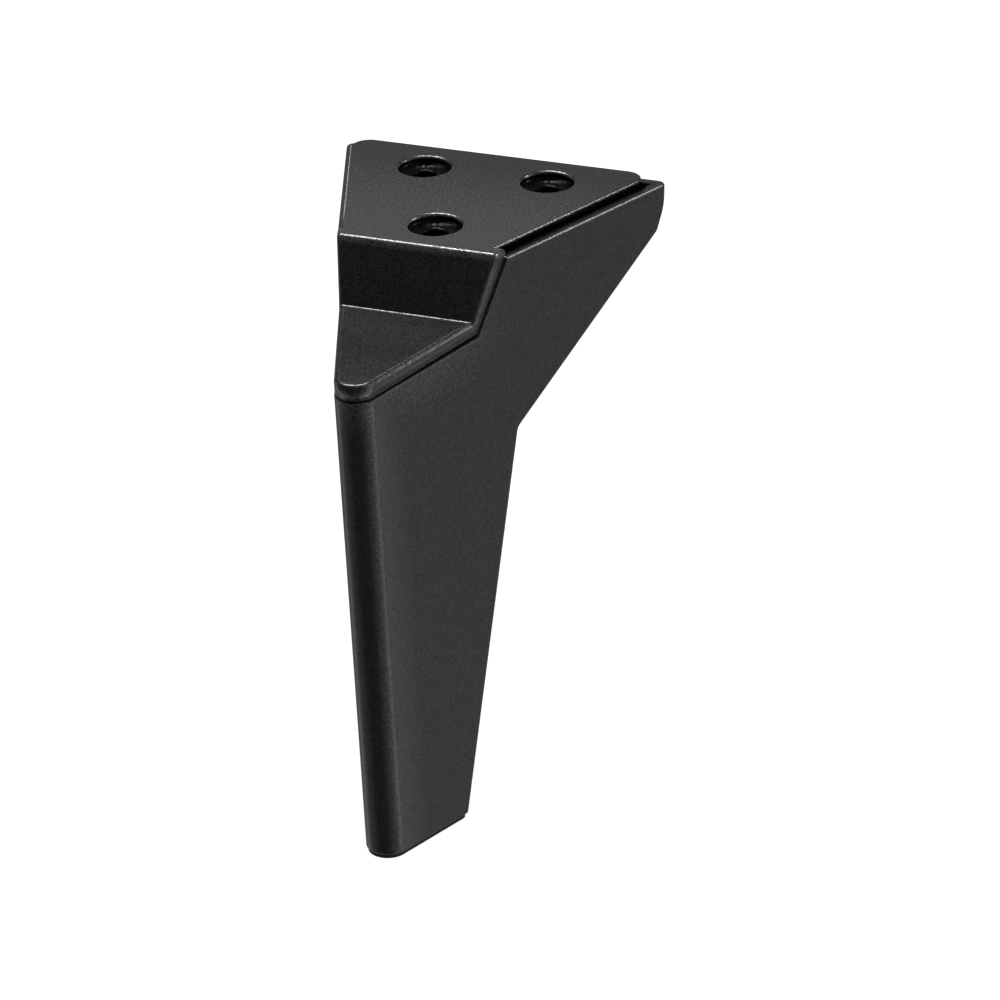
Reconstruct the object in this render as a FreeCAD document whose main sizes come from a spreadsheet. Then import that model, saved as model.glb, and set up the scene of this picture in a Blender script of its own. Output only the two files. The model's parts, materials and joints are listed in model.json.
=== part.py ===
import FreeCAD, Part
import math
import os
import re

import Sketcher

# A short plastic leg for a sofa or a cupboard: a tall hollow shell with a V-shaped plan, a moulded insert with the
# mounting face that closes its open top, and a pad under the foot. Millimetres and degrees.
# The origin is on the mounting face, midway between the three screw holes. X runs across, the sharp front edge is
# towards -Y, and the leg hangs down from Z = 0.

SIZES = {
    # The V-shaped plan and the lean of the front edge
    "height": (150.0, "from the mounting face to the ground"),
    "half_angle": (20.6, "degrees between each side face and the middle plane"),
    "tip_reach": (89.6, "from the origin forwards to where the two sides would meet"),
    "tip_radius": (5.5, "rounding of the front edge"),
    "front_lean": (3.5, "degrees by which the front edge leans back towards the foot"),
    # The shell seen from the side
    "back_reach": (25.45, "from the origin back to the end of the wing"),
    "rim_drop": (2.05, "how far the shell's rim lies below the mounting face"),
    "wing_drop": (8.0, "down to where the wing's end starts to turn in"),
    "heel_setin": (2.55, "how far the heel lies in front of the wing's end"),
    "heel_drop": (14.3, "down to the heel"),
    "knee_setback": (25.6, "from the origin forwards to the knee"),
    "knee_drop": (48.8, "down to the knee"),
    "foot_setback": (42.9, "from the origin forwards to the back of the foot"),
    "wing_round": (14.0, "rounding of the wing's end"),
    "heel_round": (1.0, "how much larger the rounding of the heel is than the corners'"),
    "knee_round": (1.4, "rounding of the knee"),
    "corner_radius": (2.0, "rounding between the side faces and the back faces"),
    "rim_round": (0.7, "outer rounding of the rim"),
    "joint_round": (0.3, "outer rounding of the shell's edge along the joint"),
    "foot_round": (0.4, "rounding round the bottom of the shell"),
    "side_wall": (2.6, "wall of the sides, the underside and the back of the leg"),
    "end_wall": (3.0, "wall at the end of the wing"),
    "foot_floor": (3.0, "floor of the shell"),
    # The insert seen from the side
    "step_reach": (34.8, "from the origin forwards to the front edge of the deck"),
    "step_run": (7.3, "how far the step slopes forwards"),
    "step_drop": (15.0, "down to the foot of the step"),
    "nose_fall": (4.8, "degrees by which the nose falls forwards"),
    "lip_width": (3.6, "width of the flange along the top"),
    "lip_heel": (0.8, "how far the flange's lower corner lies behind the step's foot"),
    "lip_height": (3.15, "height of the flange below the step's foot"),
    "lip_fall": (5.9, "degrees by which the flange's lower edge falls forwards"),
    "joint_gap": (1.2, "dark joint between the flange and the shell"),
    "joint_fall": (5.0, "degrees by which the shell's edge falls forwards"),
    "flush_gap": (0.15, "how far the flange lies inside the shell's side faces"),
    "deck_inset": (2.3, "from the shell's side faces in to the deck's edge"),
    "deck_setin": (1.45, "how far the deck's back edge lies in front of the wing's end"),
    "deck_shift": (0.85, "how far the deck lies to the left of the middle"),
    "deck_corner": (4.5, "rounding of the deck's back corners"),
    "deck_round": (0.4, "rounding along the deck's top edge"),
    "step_round": (1.2, "rounding of the step's top and of the flange's outer edges"),
    "step_hollow": (0.6, "hollow rounding at the foot of the step"),
    "fit_gap": (0.6, "clearance between the plug and the shell's walls"),
    "plug_wall": (2.0, "wall of the plug"),
    "skin": (2.4, "thickness of the deck, the step and the nose"),
    "plug_drop": (12.0, "down to the bottom of the plug"),
    "nose_plug": (10.0, "depth of the plug under the foot of the step"),
    "rib_width": (1.8, "thickness of the ribs under the deck"),
    # The three screw holes
    "hole_spread": (32.4, "between the two back holes"),
    "hole_rows": (33.5, "from the front hole back to the row of two"),
    "hole_width": (6.6, "diameter of the screw holes"),
    "recess_width": (13.0, "diameter of the recess round each hole"),
    "recess_depth": (3.0, "depth of the recess"),
    "recess_round": (0.9, "rounding of the recess's lip"),
    "mouth_bevel": (0.5, "bevel round the hole's mouth"),
    "boss_wall": (2.6, "wall of the boss round each recess"),
    # The pad under the foot
    "pad_height": (1.1, "thickness of the pad"),
    "pad_inset": (0.45, "how far the pad lies inside the shell's outline"),
    # Construction only
    "overrun": (20.0, "how far the sketches run on past the solid"),
}

doc = FreeCAD.newDocument("furniture_leg")
sheet = doc.addObject("Spreadsheet::Sheet", "Sizes")
for row, (alias, (size, note)) in enumerate(SIZES.items(), start=1):
    sheet.set(f"A{row}", alias)
    sheet.set(f"B{row}", str(size))
    sheet.set(f"C{row}", note)
    sheet.setAlias(f"B{row}", alias)
doc.recompute()


def bound(text):
    """Writes each size in an expression as the sheet's own cell."""
    return re.sub(r"[a-z_]+", lambda word: "Sizes." + word[0] if word[0] in SIZES else word[0], text)


def value(text):
    """Works an expression out, for the first shape of a sketch and for finding edges."""
    found = sheet.evalExpression(bound(text))
    return float(getattr(found, "Value", found))


def sketch_on(body, role, name):
    """Starts a sketch on one of the body's own planes."""
    sketch = body.newObject("Sketcher::SketchObject", name)
    plane = next(item for item in body.Origin.OriginFeatures if item.Role == role)
    sketch.AttachmentSupport = [(plane, "")]
    sketch.MapMode = "FlatFace"
    return sketch


def tie(sketch, line, end, across, up):
    """Ties one end of a line to two expressions, measured from the sketch's origin."""
    for kind, axis, text in (("DistanceX", -2, across), ("DistanceY", -1, up)):
        if text == "0":
            sketch.addConstraint(Sketcher.Constraint("PointOnObject", line, end, axis))
        else:
            index = sketch.addConstraint(Sketcher.Constraint(kind, -1, 1, line, end, value(text)))
            sketch.setExpression(f"Constraints[{index}]", bound(text))


def outline(sketch, corners):
    """Draws a closed outline through corners that are each given by two expressions."""
    points = [FreeCAD.Vector(value(across), value(up), 0) for across, up in corners]
    first = sketch.GeometryCount
    for start, end in zip(points, points[1:] + points[:1]):
        sketch.addGeometry(Part.LineSegment(start, end))
    last = sketch.GeometryCount - 1
    for index, (across, up) in enumerate(corners):
        line = first + index
        before = last if line == first else line - 1
        sketch.addConstraint(Sketcher.Constraint("Coincident", before, 2, line, 1))
        tie(sketch, line, 1, across, up)


def moved_corner(before, corner, after, wall_before, wall_after):
    """The corner where two lines of an outline meet once each is moved to its right by its own wall."""
    first = f"atan2(({corner[1]}) - ({before[1]}); ({corner[0]}) - ({before[0]}))"
    second = f"atan2(({after[1]}) - ({corner[1]}); ({after[0]}) - ({corner[0]}))"
    turn = f"sin({second} - {first})"
    across = f"({corner[0]}) + (({wall_after}) * cos({first}) - ({wall_before}) * cos({second})) / {turn}"
    up = f"({corner[1]}) + (({wall_after}) * sin({first}) - ({wall_before}) * sin({second})) / {turn}"
    return across, up


def names_of(shape, wanted):
    """Names the edges for which wanted is true, given the middle of the edge and its two faces' normals."""
    names = []
    for index, edge in enumerate(shape.Edges, start=1):
        faces = shape.ancestorsOfType(edge, Part.Face)
        if len(faces) == 2:
            middle = edge.valueAt((edge.FirstParameter + edge.LastParameter) / 2)
            normals = [face.normalAt(*face.Surface.parameter(middle)) for face in faces]
            if wanted(middle, normals[0], normals[1]) or wanted(middle, normals[1], normals[0]):
                names.append(f"Edge{index}")
    return names


def rounding(body, name, radius, wanted, kind="Fillet", measure="Radius"):
    """Rounds, or bevels, the wanted edges of a body by a size from the sheet."""
    base = body.Tip
    edges = names_of(base.Shape, wanted)
    if not edges:
        raise ValueError(f"{body.Label}: no edge for {name}")
    finish = body.newObject("PartDesign::" + kind, name)
    finish.Base = (base, edges)
    finish.setExpression(measure, bound(radius))
    doc.recompute()
    return finish


def across_edge(corner):
    """Tells whether an edge runs straight across the leg through a corner of its side view."""
    along, up = value(corner[0]), value(corner[1])

    def wanted(middle, one, other):
        return (abs(middle.y - along) < 1e-3 and abs(middle.z - up) < 1e-3
                and abs(one.x) < 1e-3 and abs(other.x) < 1e-3)

    return wanted


def form(name, inset, corners, sharp=False, shift="0"):
    """A body with the leg's leaning V-shaped plan inside an outline of the side view.

    The plan is moved in from the side faces by inset, and sideways by shift.
    """
    body = doc.addObject("PartDesign::Body", name)
    plan = sketch_on(body, "XY_Plane", name + "_plan")
    back = "back_reach + overrun"
    half_width = f"({back} + tip_reach - ({inset}) / sin(half_angle * 1 deg)) * tan(half_angle * 1 deg)"
    apex = (shift, f"({inset}) / sin(half_angle * 1 deg) - tip_reach")
    outline(plan, [apex, (f"{shift} + {half_width}", back), (f"{shift} - {half_width}", back)])
    prism = body.newObject("PartDesign::Pad", name + "_prism")
    prism.Profile = plan
    prism.UseCustomVector = True
    prism.Direction = FreeCAD.Vector(0, 0, -1)
    prism.setExpression("Direction.y", bound("tan(front_lean * 1 deg)"))
    prism.AlongSketchNormal = True
    prism.setExpression("Length", bound("height"))
    doc.recompute()
    if not sharp:
        rounding(body, name + "_front_edge", f"tip_radius - ({inset})",
                 lambda middle, one, other: one.x > 0.5 and other.x < -0.5)
    side = sketch_on(body, "YZ_Plane", name + "_side")
    outline(side, [("-tip_reach - overrun", "overrun"), ("back_reach + 2 * overrun", "overrun"),
                   ("back_reach + 2 * overrun", "-height - overrun"), ("-tip_reach - overrun", "-height - overrun")])
    outline(side, corners)
    doc.recompute()
    trim = body.newObject("PartDesign::Pocket", name + "_trim")
    trim.Profile = side
    trim.Midplane = True
    trim.setExpression("Length", bound("2 * (tip_reach + back_reach + overrun)"))
    doc.recompute()
    return body


def combine(body, name, kind, others):
    """Adds other bodies to a body, or cuts them out of it."""
    step = body.newObject("PartDesign::Boolean", name)
    step.Type = kind
    step.setObjects(others)
    doc.recompute()
    return step


def circles(body, name, diameter):
    """A sketch on the mounting face with a circle at each of the three screw holes."""
    sketch = sketch_on(body, "XY_Plane", name)
    for across, up in HOLES:
        circle = sketch.addGeometry(Part.Circle(FreeCAD.Vector(value(across), value(up), 0),
                                                FreeCAD.Vector(0, 0, 1), value(diameter) / 2))
        tie(sketch, circle, 3, across, up)
        index = sketch.addConstraint(Sketcher.Constraint("Diameter", circle, value(diameter)))
        sketch.setExpression(f"Constraints[{index}]", bound(diameter))
    return sketch


def cut_down(body, name, sketch, depth):
    """Cuts a sketch on the mounting face straight down."""
    pocket = body.newObject("PartDesign::Pocket", name)
    pocket.Profile = sketch
    pocket.setExpression("Length", bound(depth))
    doc.recompute()
    return pocket


HOLES = [("-hole_spread / 2", "hole_rows / 3"), ("hole_spread / 2", "hole_rows / 3"), ("0", "-hole_rows * 2 / 3")]
FRONT = "-tip_reach - overrun / 2"

# The insert's profile: the deck, the step and the nose on top, the flange's edge below them.
DECK_EDGE = ("-step_reach", "0")
STEP_FOOT = ("-step_reach - step_run", "-step_drop")
NOSE_END = (FRONT, f"-step_drop - ({STEP_FOOT[0]} - ({FRONT})) * tan(nose_fall * 1 deg)")
LIP_TOP = ("lip_width - step_reach", "0")
LIP_CORNER = (f"{STEP_FOOT[0]} + lip_heel", "-step_drop - lip_height")
LIP_END = (FRONT, f"{LIP_CORNER[1]} - ({LIP_CORNER[0]} - ({FRONT})) * tan(lip_fall * 1 deg)")

# The shell's profile. Its open edge follows the flange at the width of the joint, and closes in towards the tip.
JOINT_CORNER = moved_corner(LIP_TOP, LIP_CORNER, LIP_END, "-joint_gap", "-joint_gap")
JOINT_END = (FRONT, f"{JOINT_CORNER[1]} - ({JOINT_CORNER[0]} - ({FRONT})) * tan(joint_fall * 1 deg)")
LIP_SLOPE = f"({LIP_CORNER[0]} - ({LIP_TOP[0]})) / ({LIP_CORNER[1]})"
RIM_FRONT = (f"{JOINT_CORNER[0]} + (-rim_drop - ({JOINT_CORNER[1]})) * {LIP_SLOPE}", "-rim_drop")
RIM_BACK = ("back_reach", "-rim_drop")
WING = ("back_reach", "-wing_drop")
HEEL = ("back_reach - heel_setin", "-heel_drop")
KNEE = ("-knee_setback", "-knee_drop")
FOOT_BACK = ("-foot_setback", "pad_height - height")
FOOT_FRONT = (FRONT, "pad_height - height")

# The shell: one moulding with an even wall, open at the top.
shell = form("leg_shell", "0", [RIM_BACK, WING, HEEL, KNEE, FOOT_BACK, FOOT_FRONT, JOINT_END, JOINT_CORNER, RIM_FRONT])
rounding(shell, "wing_rounding", "wing_round", across_edge(WING))
rounding(shell, "heel_rounding", "corner_radius + heel_round", across_edge(HEEL))
rounding(shell, "knee_rounding", "knee_round", across_edge(KNEE))
rounding(shell, "back_corners", "corner_radius",
         lambda middle, one, other: abs(one.x) > 0.5 and abs(other.x) < 0.01 and other.y > 0.1)
rounding(shell, "rim_edge", "rim_round",
         lambda middle, one, other: abs(middle.z + value("rim_drop")) < 0.01 and other.z > 0.99 and one.z < 0.1)
rounding(shell, "joint_edge", "joint_round",
         lambda middle, one, other: other.y < -0.05 and other.z > 0.3 and abs(other.x) < 0.01 and one.z < 0.1)
rounding(shell, "foot_edge", "foot_round", lambda middle, one, other: other.z < -0.99 and abs(one.z) < 0.3)

inner_wing = moved_corner(RIM_BACK, WING, HEEL, "end_wall", "side_wall")
inner_heel = moved_corner(WING, HEEL, KNEE, "side_wall", "side_wall")
inner_knee = moved_corner(HEEL, KNEE, FOOT_BACK, "side_wall", "side_wall")
inner_foot = moved_corner(KNEE, FOOT_BACK, FOOT_FRONT, "side_wall", "foot_floor")
cavity = form("cavity", "side_wall", [("back_reach - end_wall", "0"), inner_wing, inner_heel, inner_knee, inner_foot,
                                      (FRONT, "pad_height + foot_floor - height"), (FRONT, "0")])
combine(shell, "moulded_hollow", "Cut", [cavity])

# The insert: a deck that rests on the rim, a flange that lies flush with the sides along the step and the nose, and a
# plug that fits into the shell.
insert = form("mounting_plate", "flush_gap", [LIP_TOP, LIP_CORNER, LIP_END, NOSE_END, STEP_FOOT, DECK_EDGE])
rounding(insert, "step_edge", "step_round", across_edge(DECK_EDGE))
rounding(insert, "step_foot", "step_hollow", across_edge(STEP_FOOT))
rounding(insert, "flange_edge", "step_round",
         lambda middle, one, other: abs(one.z) < 0.1 and abs(other.x) < 0.01 and (other.z > 0.9 or other.y < -0.8))

deck_front = ("-step_reach - rim_drop * step_run / step_drop", "-rim_drop")
deck_back = "back_reach - deck_setin"
deck = form("deck", "deck_inset", [(deck_back, "0"), (deck_back, "-rim_drop"), deck_front, DECK_EDGE],
            shift="-deck_shift")
rounding(deck, "deck_step_edge", "step_round", across_edge(DECK_EDGE))
rounding(deck, "deck_corners", "deck_corner", lambda middle, one, other: abs(one.x) > 0.5 and other.y > 0.9)
rounding(deck, "deck_edge", "deck_round", lambda middle, one, other: other.z > 0.9 and one.z < 0.1 and one.y > -0.6)

plug_inset = "side_wall + fit_gap"
plug_back = "back_reach - end_wall - fit_gap"
plug = form("plug", plug_inset, [(plug_back, "-rim_drop"), (plug_back, "-plug_drop"),
                                 ("-step_reach + skin", "-plug_drop"),
                                 (f"{STEP_FOOT[0]} + skin", "-step_drop - nose_plug"),
                                 (FRONT, "-step_drop - nose_plug"), NOSE_END, STEP_FOOT, deck_front])
rounding(plug, "plug_step_foot", "step_hollow", across_edge(STEP_FOOT))
end_room, side_room = "end_wall + fit_gap", "side_wall + fit_gap"
room = form("room_in_shell", plug_inset, [(plug_back, "0"),
                                          moved_corner(RIM_BACK, WING, HEEL, end_room, side_room),
                                          moved_corner(WING, HEEL, KNEE, side_room, side_room),
                                          moved_corner(HEEL, KNEE, FOOT_BACK, side_room, side_room),
                                          (FRONT, "-knee_drop - overrun"), (FRONT, "0")])
combine(plug, "plug_inside_shell", "Common", [room])
rounding(plug, "plug_corners", "deck_corner", lambda middle, one, other: abs(one.x) > 0.5 and other.y > 0.99)

hollow_back = f"{plug_back} - plug_wall"
under_edge = moved_corner((deck_back, "0"), DECK_EDGE, STEP_FOOT, "-skin", "-skin")
under_foot = moved_corner(DECK_EDGE, STEP_FOOT, NOSE_END, "-skin", "-skin")
under_end = (FRONT, f"{NOSE_END[1]} - skin / cos(nose_fall * 1 deg)")
below = "-step_drop - nose_plug - overrun"
hollow = form("hollow", f"{plug_inset} + plug_wall",
              [(hollow_back, "-skin"), (hollow_back, below), (FRONT, below), under_end, under_foot, under_edge],
              sharp=True)
boss_width = "recess_width + 2 * boss_wall"
cut_down(hollow, "room_for_bosses", circles(hollow, "bosses", boss_width), "height")
ribs = sketch_on(hollow, "XY_Plane", "ribs")
outline(ribs, [("rib_width / 2", "-tip_reach"), ("rib_width / 2", "back_reach"),
               ("-rib_width / 2", "back_reach"), ("-rib_width / 2", "-tip_reach")])
cut_down(hollow, "room_for_middle_rib", ribs, "height")
cross = sketch_on(hollow, "XY_Plane", "cross_rib")
outline(cross, [("tip_reach", "hole_rows / 3 - rib_width / 2"), ("tip_reach", "hole_rows / 3 + rib_width / 2"),
                ("-tip_reach", "hole_rows / 3 + rib_width / 2"), ("-tip_reach", "hole_rows / 3 - rib_width / 2")])
cut_down(hollow, "room_for_cross_rib", cross, "height")

combine(insert, "deck_and_plug", "Fuse", [deck, plug])
combine(insert, "underside", "Cut", [hollow])
cut_down(insert, "recesses", circles(insert, "recess_circles", "recess_width"), "recess_depth")
cut_down(insert, "screw_holes", circles(insert, "hole_circles", "hole_width"), "height")


def near_hole(middle, diameter):
    """Tells whether a point lies on a circle of this diameter round one of the holes."""
    return any(abs(math.hypot(middle.x - value(across), middle.y - value(up)) - value(diameter) / 2) < 1e-3
               for across, up in HOLES)


rounding(insert, "recess_lip", "recess_round",
         lambda middle, one, other: near_hole(middle, "recess_width") and abs(middle.z) < 1e-3)
rounding(insert, "hole_mouth", "mouth_bevel",
         lambda middle, one, other: near_hole(middle, "hole_width") and abs(middle.z + value("recess_depth")) < 1e-3,
         "Chamfer", "Size")

# The pad under the foot, a little smaller than the shell all round.
pad_back = "-foot_setback - pad_inset"
pad = form("foot_pad", "pad_inset", [(pad_back, "pad_height - height"), (pad_back, "-height"), (FRONT, "-height"),
                                     (FRONT, "pad_height - height")])
rounding(pad, "pad_corners", "corner_radius", lambda middle, one, other: abs(one.x) > 0.5 and other.y > 0.9)

for item in doc.Objects:
    if "Invalid" in item.State or "Error" in item.State:
        raise RuntimeError(f"{item.Name} did not rebuild: {item.State}")

os.makedirs("parts", exist_ok=True)
for body in (shell, insert, pad):
    if body.Shape.isNull() or not body.Shape.isValid():
        raise RuntimeError(f"{body.Label} has no valid shape")
    box = body.Shape.BoundBox
    print(body.Label, round(body.Shape.Volume), "mm3", box)
    body.Shape.exportStep(f"parts/{body.Label}.step")
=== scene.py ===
import json
import math

import bmesh
import bpy
from mathutils import Matrix, Vector


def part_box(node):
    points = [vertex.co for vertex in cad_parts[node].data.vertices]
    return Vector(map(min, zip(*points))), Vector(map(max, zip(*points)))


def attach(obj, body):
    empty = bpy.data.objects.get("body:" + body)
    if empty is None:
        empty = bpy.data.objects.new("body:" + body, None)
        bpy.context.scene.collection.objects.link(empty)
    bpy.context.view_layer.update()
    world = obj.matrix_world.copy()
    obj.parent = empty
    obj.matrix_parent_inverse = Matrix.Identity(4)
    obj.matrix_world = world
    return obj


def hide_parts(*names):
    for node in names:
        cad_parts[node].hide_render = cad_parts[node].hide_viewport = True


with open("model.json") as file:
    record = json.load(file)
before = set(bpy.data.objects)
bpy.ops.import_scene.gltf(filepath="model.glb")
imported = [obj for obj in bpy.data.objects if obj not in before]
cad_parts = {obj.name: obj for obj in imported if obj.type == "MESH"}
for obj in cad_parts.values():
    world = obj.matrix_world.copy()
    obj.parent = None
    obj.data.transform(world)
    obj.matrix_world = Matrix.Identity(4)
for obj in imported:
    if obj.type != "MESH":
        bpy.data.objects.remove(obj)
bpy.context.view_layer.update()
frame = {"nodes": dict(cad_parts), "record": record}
scene = bpy.context.scene
scene.view_settings.view_transform = "Standard"

# The camera: a long lens that looks down on the leg from the front right, with the whole leg in view.
EYE = Vector((0.34997, -0.86971, 0.38717))
TURN = math.radians(21.568)
TILT = math.radians(26.724)
ROLL = math.radians(-1.361)
SENSOR = 36.0
LENS = 149.1

camera = bpy.data.objects.new("camera", bpy.data.cameras.new("camera"))
camera.data.sensor_width = SENSOR
camera.data.lens = LENS
camera.matrix_world = (Matrix.Translation(EYE) @ Matrix.Rotation(TURN, 4, "Z")
                       @ Matrix.Rotation(math.pi / 2 - TILT, 4, "X") @ Matrix.Rotation(ROLL, 4, "Z"))
scene.collection.objects.link(camera)
scene.camera = camera

# The shell: one hollow housing, injection-moulded in black polypropylene. Its sides carry a fine moulded
# grain, and the roundings along its edges catch the light. Dust lies on it as a thin haze; a painted glow
# pales it below the joint beside the nose, and a painted reflection runs as a paler band down to the foot
# beside the rounded front edge.
WELD = 1e-6
SHARP_ANGLE = math.radians(35)


def moulded(node, material):
    """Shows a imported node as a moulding: its triangles joined, and light running evenly over roundings."""
    mesh = frame["nodes"][node].data.copy()
    piece = bpy.data.objects.new(node + "_moulding", mesh)
    scene.collection.objects.link(piece)
    work = bmesh.new()
    work.from_mesh(mesh)
    bmesh.ops.remove_doubles(work, verts=work.verts, dist=WELD)
    for face in work.faces:
        face.smooth = True
    work.to_mesh(mesh)
    work.free()
    mesh.set_sharp_from_angle(angle=SHARP_ANGLE)
    weighted = piece.modifiers.new("even_light", "WEIGHTED_NORMAL")
    weighted.keep_sharp = True
    mesh.materials.clear()
    mesh.materials.append(material)
    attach(piece, "root")
    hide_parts(node)
    return piece


def linear(hex_colour):
    """Turns an sRGB colour such as #1a2b3c into the linear values that a shader takes."""
    parts = [int(hex_colour[i:i + 2], 16) / 255 for i in (1, 3, 5)]
    return [part / 12.92 if part <= 0.04045 else ((part + 0.055) / 1.055) ** 2.4 for part in parts] + [1.0]


def feed(node, inputs):
    """Sets a node's inputs, or links them to a socket or to another node's first output in use."""
    for socket, given in inputs.items():
        if isinstance(given, bpy.types.Node):
            given = next(output for output in given.outputs if output.enabled)
        if isinstance(given, bpy.types.NodeSocket):
            node.id_data.links.new(given, node.inputs[socket])
        else:
            node.inputs[socket].default_value = given


def add(tree, kind, inputs=None, **settings):
    """Adds a node with its settings, and sets or links its inputs."""
    node = tree.nodes.new(kind)
    for name, setting in settings.items():
        setattr(node, name, setting)
    feed(node, inputs or {})
    return node


def start_material(name, inputs):
    """Makes a material whose shader has the given inputs, and gives both."""
    material = bpy.data.materials.new(name)
    material.use_nodes = True
    surface = material.node_tree.nodes["Principled BSDF"]
    feed(surface, inputs)
    return material, surface


# Both mouldings: polypropylene with the grain of an etched steel mould, a satin black that sparkles a
# little where the grain stands up. The real grain is finer, and it is drawn this wide so that it shows.
PLASTIC_IOR = 1.5
GRAIN_WIDTH = 0.0006
BLACK = "#191a1b"
PALE_DUST_AND_LIGHT = "#56585c"


def plastic(name, roughness):
    """Starts a black plastic, and gives its material and shader, its tree, the place on it and its grain."""
    material, surface = start_material(name, {"IOR": PLASTIC_IOR, "Roughness": roughness})
    tree = material.node_tree
    place = add(tree, "ShaderNodeTexCoord").outputs["Object"]
    grain = add(tree, "ShaderNodeTexNoise",
                {"Vector": place, "Scale": 1 / GRAIN_WIDTH, "Detail": 2.0, "Roughness": 0.7})
    return material, surface, tree, place, grain


def zone(tree, strength, *edges):
    """Marks a zone: each edge is a coordinate, and where along it the mark starts and is at its strength."""
    mark = strength
    for coordinate, start, full in edges:
        edge = add(tree, "ShaderNodeMapRange", {"Value": coordinate, "From Min": start, "From Max": full})
        mark = add(tree, "ShaderNodeMath", {0: mark, 1: edge}, operation="MULTIPLY")
    return mark


def uneven(tree, level, grain, swing, reach):
    """Lets a level follow the grain: it differs by the share swing where that is reach off its middle."""
    share = add(tree, "ShaderNodeMapRange", {"Value": grain, "From Min": 0.5 - reach, "From Max": 0.5 + reach,
                                             "To Min": 1 - swing, "To Max": 1 + swing})
    return add(tree, "ShaderNodeMath", {0: level, 1: share}, operation="MULTIPLY")


def paled_by_dust_and_light(tree, cover):
    """Gives the plastic's black under a pale tint, standing for dust and for painted light, that hides the
    share cover of it.
    """
    return add(tree, "ShaderNodeMix", {"Factor": cover, "A": linear(BLACK), "B": linear(PALE_DUST_AND_LIGHT)},
               data_type="RGBA")


# The grain lies round 0.5. The gloss follows it up to 0.1 either side of that, and the pale cover of dust and
# painted light up to 0.2.
GLOSS = 0.5
GLOSS_REACH = 0.1
PALE_SWING = 0.9
PALE_REACH = 0.2
SHELL_ROUGHNESS = 0.25
SHELL_SPARKLE = 0.28
shell_plastic, surface, tree, place, grain = plastic("satin_black_polypropylene", SHELL_ROUGHNESS)
x, y, z = add(tree, "ShaderNodeSeparateXYZ", {0: place}).outputs

# A painted glow below the joint beside the nose, over a thin dust everywhere. Places are in metres from the
# origin, in the middle of the mounting face.
THIN_DUST = 0.06
JOINT_PAINTED_GLOW = 0.5
BELOW_JOINT = (-0.034, -0.021)
BESIDE_NOSE = (-0.025, -0.06)
dust_and_painted_light = zone(tree, JOINT_PAINTED_GLOW, (z, *BELOW_JOINT), (y, *BESIDE_NOSE))
dust_and_painted_light = add(tree, "ShaderNodeMath", {0: dust_and_painted_light, 1: THIN_DUST}, operation="MAXIMUM")

# The pale band, a painted reflection, which leans with the front edge and ends where its rounding begins.
FRONT_LEAN = math.tan(math.radians(3.5))
PAINTED_BAND = 0.55
BAND_SWING = 0.3
TOWARDS_FRONT = (-0.066, -0.0755)
OFF_ROUNDING = (-0.0767, -0.0757)
upright = add(tree, "ShaderNodeMath", {0: z, 1: FRONT_LEAN, 2: y}, operation="MULTIPLY_ADD")
painted_band = zone(tree, PAINTED_BAND, (upright, *TOWARDS_FRONT), (upright, *OFF_ROUNDING))

cover = add(tree, "ShaderNodeMath", {0: uneven(tree, dust_and_painted_light, grain, PALE_SWING, PALE_REACH),
                                     1: uneven(tree, painted_band, grain, BAND_SWING, PALE_REACH)},
            operation="MAXIMUM")
feed(surface, {"Base Color": paled_by_dust_and_light(tree, cover),
               "Specular IOR Level": uneven(tree, GLOSS, grain, SHELL_SPARKLE, GLOSS_REACH)})
moulded("leg_shell", shell_plastic)

# The insert with the mounting face: moulded in the same plastic, with a livelier sparkle, and held in the
# shell by the plug under it. Its deck is paler towards the front, painted light over a thin dust, its nose
# is dull, the side of its flange is rubbed paler, and light specks and short scratches lie on it.
INSERT_ROUGHNESS = 0.22
INSERT_SPARKLE = 0.56
plate_plastic, surface, tree, place, grain = plastic("grained_black_polypropylene", INSERT_ROUGHNESS)
x, y, z = add(tree, "ShaderNodeSeparateXYZ", {0: place}).outputs

# How far a place lies inside the leg's flat sides, left or right. They would meet ahead of the front edge.
HALF_ANGLE = math.radians(20.6)
TIP_REACH = 0.0896
SIDE_REACH = TIP_REACH * math.sin(HALF_ANGLE)
SIDE_NORMAL = (math.cos(HALF_ANGLE), -math.sin(HALF_ANGLE), -math.sin(HALF_ANGLE) * FRONT_LEAN)
across = add(tree, "ShaderNodeMath", {0: x}, operation="ABSOLUTE")
either_side = add(tree, "ShaderNodeCombineXYZ", {"X": across, "Y": y, "Z": z})
outwards = add(tree, "ShaderNodeVectorMath", {0: either_side, 1: SIDE_NORMAL}, operation="DOT_PRODUCT")
inset = add(tree, "ShaderNodeMath", {0: SIDE_REACH, 1: outwards}, operation="SUBTRACT")

# Painted light on the deck, paler towards the front, over a thin dust on the whole insert.
THIN_INSERT_DUST = 0.12
DECK_PAINTED_LIGHT = 1.35
DECK_FRONT = (0.02, -0.03)
DECK_TOP = (-0.002, 0.0)
dust_and_painted_light = zone(tree, DECK_PAINTED_LIGHT, (y, *DECK_FRONT), (z, *DECK_TOP))
dust_and_painted_light = add(tree, "ShaderNodeMath", {0: dust_and_painted_light, 1: THIN_INSERT_DUST}, operation="MAXIMUM")
dusty_and_lit = paled_by_dust_and_light(tree, uneven(tree, dust_and_painted_light, grain, PALE_SWING, PALE_REACH))

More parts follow.
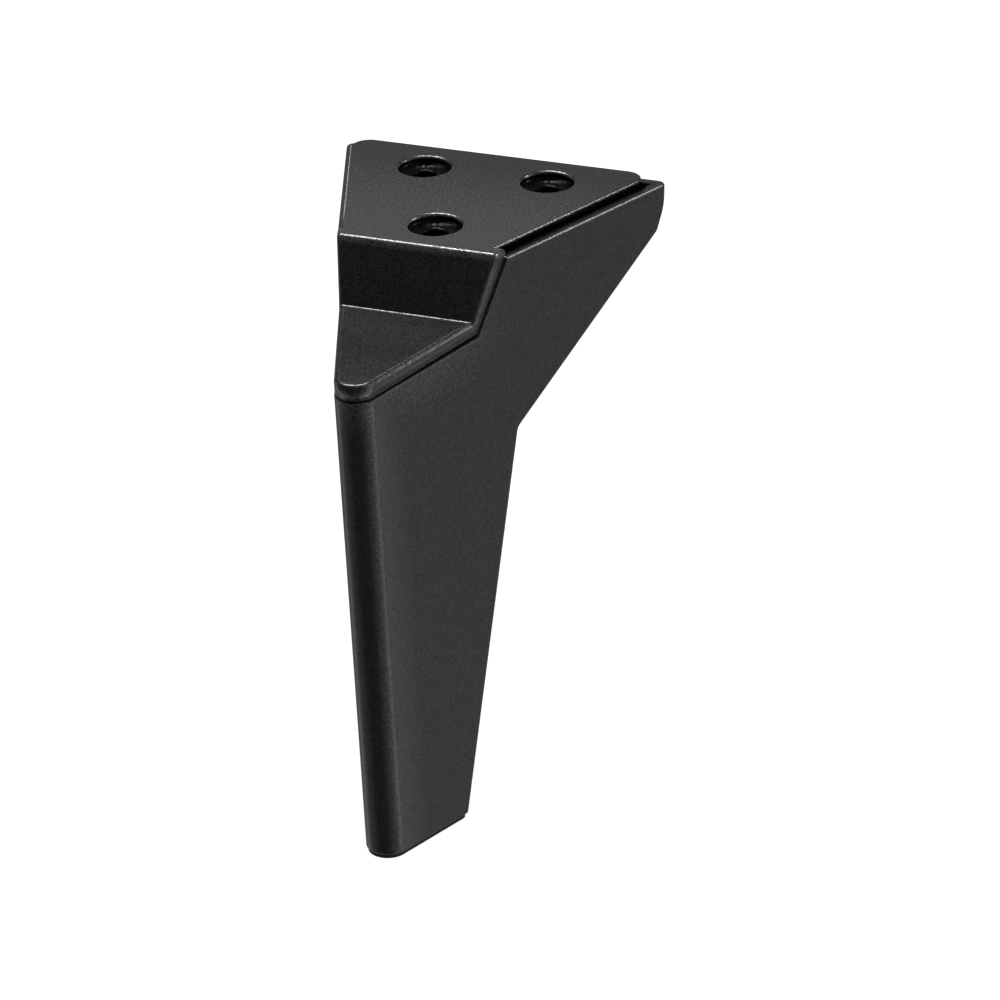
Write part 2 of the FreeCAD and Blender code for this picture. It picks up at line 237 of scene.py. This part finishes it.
# The specks and scratches, where a noise of their size has its peaks, and the rubbed side of the flange.
MARK = "#5c5c5c"
SPECK_WIDTH = 0.0002222
SCRATCH_LENGTH = 0.001667
SLANT = (0.0, 0.7, 0.3)
PEAKS = (0.8, 0.86)
SCRATCH = 0.6
RUBBED = 0.35
FLANGE_SIDE = (0.0008, 0.0004)
BELOW_FLANGE_TOP = (-0.002, -0.004)
specks = add(tree, "ShaderNodeTexNoise", {"Vector": place, "Scale": 1 / SPECK_WIDTH, "Detail": 0.0})
stretched = (1 / SPECK_WIDTH, 1 / SPECK_WIDTH, 1 / SCRATCH_LENGTH)
slanted = add(tree, "ShaderNodeMapping", {"Vector": place, "Rotation": SLANT, "Scale": stretched})
scratches = add(tree, "ShaderNodeTexNoise", {"Vector": slanted, "Scale": 1.0, "Detail": 0.0})
scuffs = add(tree, "ShaderNodeMath", {0: zone(tree, 1.0, (specks, *PEAKS)),
                                      1: zone(tree, SCRATCH, (scratches, *PEAKS))}, operation="MAXIMUM")
rubbed = zone(tree, RUBBED, (inset, *FLANGE_SIDE), (z, *BELOW_FLANGE_TOP))
marks = add(tree, "ShaderNodeMath", {0: scuffs, 1: rubbed}, operation="MAXIMUM")
marked = add(tree, "ShaderNodeMix", {"Factor": marks, "A": dusty_and_lit, "B": linear(MARK)}, data_type="RGBA")

# Painted shade darkens the recesses and the gap beside the deck, and the nose hardly shines near the step.
DARK = "#060606"
SHADE = 0.94
BELOW_DECK_TOP = (-0.0004, -0.0007)
BEHIND_STEP = (-0.034, -0.0335)
INSIDE_DECK = (0.0024, 0.0026)
NEAR_STEP = -0.046
NEAR_TIP = -0.083
DULL_NEAR_STEP = 0.85
DULL_NEAR_TIP = 0.35
STEP_FOOT = (-0.0422, -0.043)
NOSE_TIP = (-0.085, -0.084)
INSIDE_FLANGE = (0.0011, 0.0016)
shade = zone(tree, SHADE, (z, *BELOW_DECK_TOP), (y, *BEHIND_STEP), (inset, *INSIDE_DECK))
shaded = add(tree, "ShaderNodeMix", {"Factor": shade, "A": marked, "B": linear(DARK)}, data_type="RGBA")
fading = add(tree, "ShaderNodeMapRange", {"Value": y, "From Min": NEAR_STEP, "From Max": NEAR_TIP,
                                          "To Min": DULL_NEAR_STEP, "To Max": DULL_NEAR_TIP})
nose = zone(tree, fading, (y, *STEP_FOOT), (y, *NOSE_TIP), (inset, *INSIDE_FLANGE))
dull = add(tree, "ShaderNodeMath", {0: shade, 1: nose}, operation="MAXIMUM")
gloss = add(tree, "ShaderNodeMath", {0: dull, 1: -GLOSS, 2: GLOSS}, operation="MULTIPLY_ADD")
feed(surface, {"Base Color": shaded,
               "Specular IOR Level": uneven(tree, gloss, grain, INSERT_SPARKLE, GLOSS_REACH)})
insert = moulded("mounting_plate", plate_plastic)

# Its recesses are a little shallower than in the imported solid, and the screw holes in them narrower.
RECESS_RADIUS = 0.0065
RECESS_DEPTH = 0.003
CHAMFER = 0.0005
NEAR = 0.0001
RAISED = 0.00085
NARROWED = 0.88
work = bmesh.new()
work.from_mesh(insert.data)
for screw_hole in [mount for mount in frame["record"]["mounts"] if mount["kind"] == "bore"]:
    axis = Vector((*screw_hole["pos_m"][:2], 0.0))
    mouth = screw_hole["dims"]["r_mm"] / 1000 + CHAMFER
    recess = [vert for vert in work.verts if (vert.co.xy - axis.xy).length < RECESS_RADIUS + NEAR]
    bottom = [vert for vert in recess if -CHAMFER - NEAR < vert.co.z + RECESS_DEPTH < NEAR]
    hole = [vert for vert in recess if (vert.co.xy - axis.xy).length < mouth + NEAR]
    bmesh.ops.translate(work, verts=bottom, vec=(0, 0, RAISED))
    bmesh.ops.scale(work, verts=hole, vec=(NARROWED, NARROWED, 1.0), space=Matrix.Translation(-axis))
work.to_mesh(insert.data)
work.free()

# The pad: a thin sheet of black rubber, glued under the foot. It is matt, so it shows as a dark line there.
RUBBER = "#060606"
RUBBER_ROUGHNESS = 0.8
rubber, surface = start_material("matt_black_rubber",
                                 {"Base Color": linear(RUBBER), "Roughness": RUBBER_ROUGHNESS})
moulded("foot_pad", rubber)

# The floor: a sheet of white paper under the foot, which glows for the camera so that it shows as white.
PAPER_SIZE = 6.0
PAPER = "#e6e6e6"
WHITE = "#ffffff"
PAPER_GLOW = 0.85
paper, surface = start_material("white_paper", {"Base Color": linear(PAPER), "Roughness": 1.0,
                                                "Specular IOR Level": 0.0, "Emission Color": linear(WHITE)})
tree = paper.node_tree
seen = add(tree, "ShaderNodeLightPath").outputs["Is Camera Ray"]
glow = add(tree, "ShaderNodeMath", {0: seen, 1: PAPER_GLOW}, operation="MULTIPLY")
feed(surface, {"Emission Strength": glow})

sheet = bpy.data.meshes.new("floor")
work = bmesh.new()
bmesh.ops.create_grid(work, x_segments=1, y_segments=1, size=PAPER_SIZE / 2)
bmesh.ops.translate(work, verts=work.verts, vec=(0, 0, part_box("foot_pad")[0].z))
work.to_mesh(sheet)
work.free()
sheet.materials.append(paper)
floor = bpy.data.objects.new("floor", sheet)
scene.collection.objects.link(floor)
floor.visible_glossy = False

# The room: white to the camera, and as bright to the leg as these stops say along each axis, from -1 to 1.
# It is dark behind the camera, and brightest behind the leg.
ROOM_LEVEL = 2.0
ROOM = {
    "X": [(-0.9, 0.45), (-0.4, 1.0)],
    "Y": [(-0.75, 0.11), (-0.45, 0.6), (-0.1, 1.1), (0.12, 2.3), (0.38, 0.5), (1.0, 0.5)],
    "Z": [(-1.0, 0.36), (0.0, 0.41), (0.38, 0.27), (0.6, 0.28), (1.0, 0.3)],
}
world = bpy.data.worlds.new("studio")
world.use_nodes = True
scene.world = world
tree = world.node_tree
towards = add(tree, "ShaderNodeTexCoord").outputs["Generated"]
direction = add(tree, "ShaderNodeSeparateXYZ", {0: towards})
room = ROOM_LEVEL
for axis, (first, *middle, last) in ROOM.items():
    along = add(tree, "ShaderNodeMapRange", {"Value": direction.outputs[axis], "From Min": -1.0})
    bar = add(tree, "ShaderNodeValToRGB", {0: along})
    bar.color_ramp.interpolation = "EASE"
    stops = bar.color_ramp.elements
    for index, (position, level) in enumerate([first, last, *middle]):
        share = (position + 1) / 2
        stop = stops[index] if index < 2 else stops.new(share)
        stop.position = share
        stop.color = (level, level, level, 1.0)
    room = add(tree, "ShaderNodeMath", {0: room, 1: bar}, operation="MULTIPLY")
seen = add(tree, "ShaderNodeLightPath").outputs["Is Camera Ray"]
shown = add(tree, "ShaderNodeMath", {0: seen, 1: room}, operation="MAXIMUM")
feed(tree.nodes["Background"], {"Color": linear(WHITE), "Strength": shown})

# The lamps: three soft boxes behind the leg, aimed below its nose, which draw the bright lines on its edges.
LAMP_AIM = Vector((0.0, -0.03, -0.05))


def softbox(name, place, width, height, radiance):
    """A flat lamp that faces the leg's top and shows only in its gloss, as bright as radiance says."""
    lamp = bpy.data.lights.new(name, "AREA")
    lamp.shape = "RECTANGLE"
    lamp.size = width
    lamp.size_y = height
    lamp.energy = radiance * math.pi * width * height
    holder = bpy.data.objects.new(name, lamp)
    holder.location = place
    holder.rotation_euler = (Vector(place) - LAMP_AIM).to_track_quat("Z", "Y").to_euler()
    holder.visible_diffuse = False
    scene.collection.objects.link(holder)


softbox("overhead_strip", (-0.33, 0.28, 0.85), 0.6, 0.35, 22.0)
softbox("right_softbox", (0.36, 0.28, 0.34), 0.12, 0.12, 25.0)
softbox("low_right_softbox", (0.7, 0.27, 0.19), 0.16, 0.16, 11.0)
